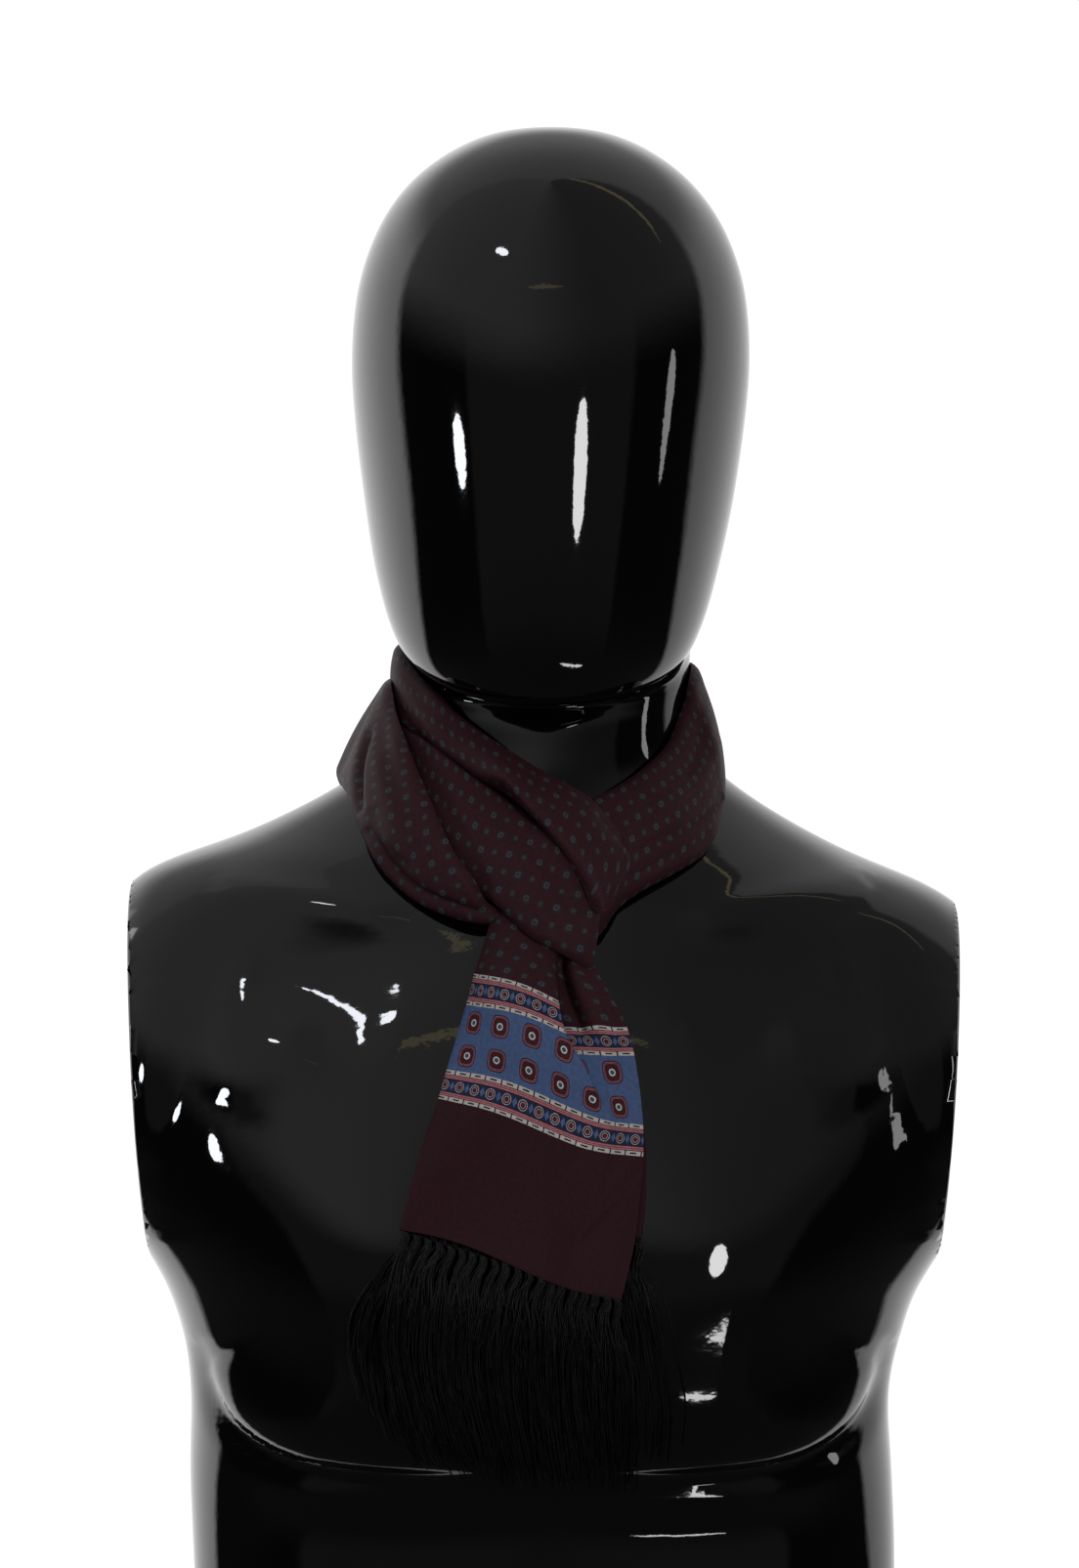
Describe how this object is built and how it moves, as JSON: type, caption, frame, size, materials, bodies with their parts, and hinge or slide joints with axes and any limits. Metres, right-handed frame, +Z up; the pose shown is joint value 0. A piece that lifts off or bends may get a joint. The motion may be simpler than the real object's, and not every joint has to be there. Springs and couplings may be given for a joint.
{
  "type": "silk scarf on a display form",
  "caption": "Narrow fringed silk scarf tied with a pulled-through loop, worn by a gloss black head and torso display form that stands on its flat underside.",
  "frame": {"origin": "middle of the display form's flat underside", "axes": "+Z up, -Y towards the viewer in front of the chest, +X to that viewer's right"},
  "size_m": [0.3639, 0.2461, 0.683],
  "materials": {
    "form_lacquer": "high-gloss black lacquer on moulded fibreglass",
    "silk_twill": "printed silk twill, burgundy ground with small ringed motifs and a blue and pink border band, soft sheen",
    "fringe_thread": "black silk threads, knotted in tassels"
  },
  "bodies": {
    "root": {"display_form": "form_lacquer", "upper_cross": "silk_twill", "loop_front": "silk_twill", "outer_left": "silk_twill", "outer_back": "silk_twill", "inner_back": "silk_twill", "right_band": "silk_twill", "tail_front": "silk_twill", "tail_back": "silk_twill", "fringe_front": "fringe_thread", "fringe_back": "fringe_thread"}
  },
  "joints": []
}
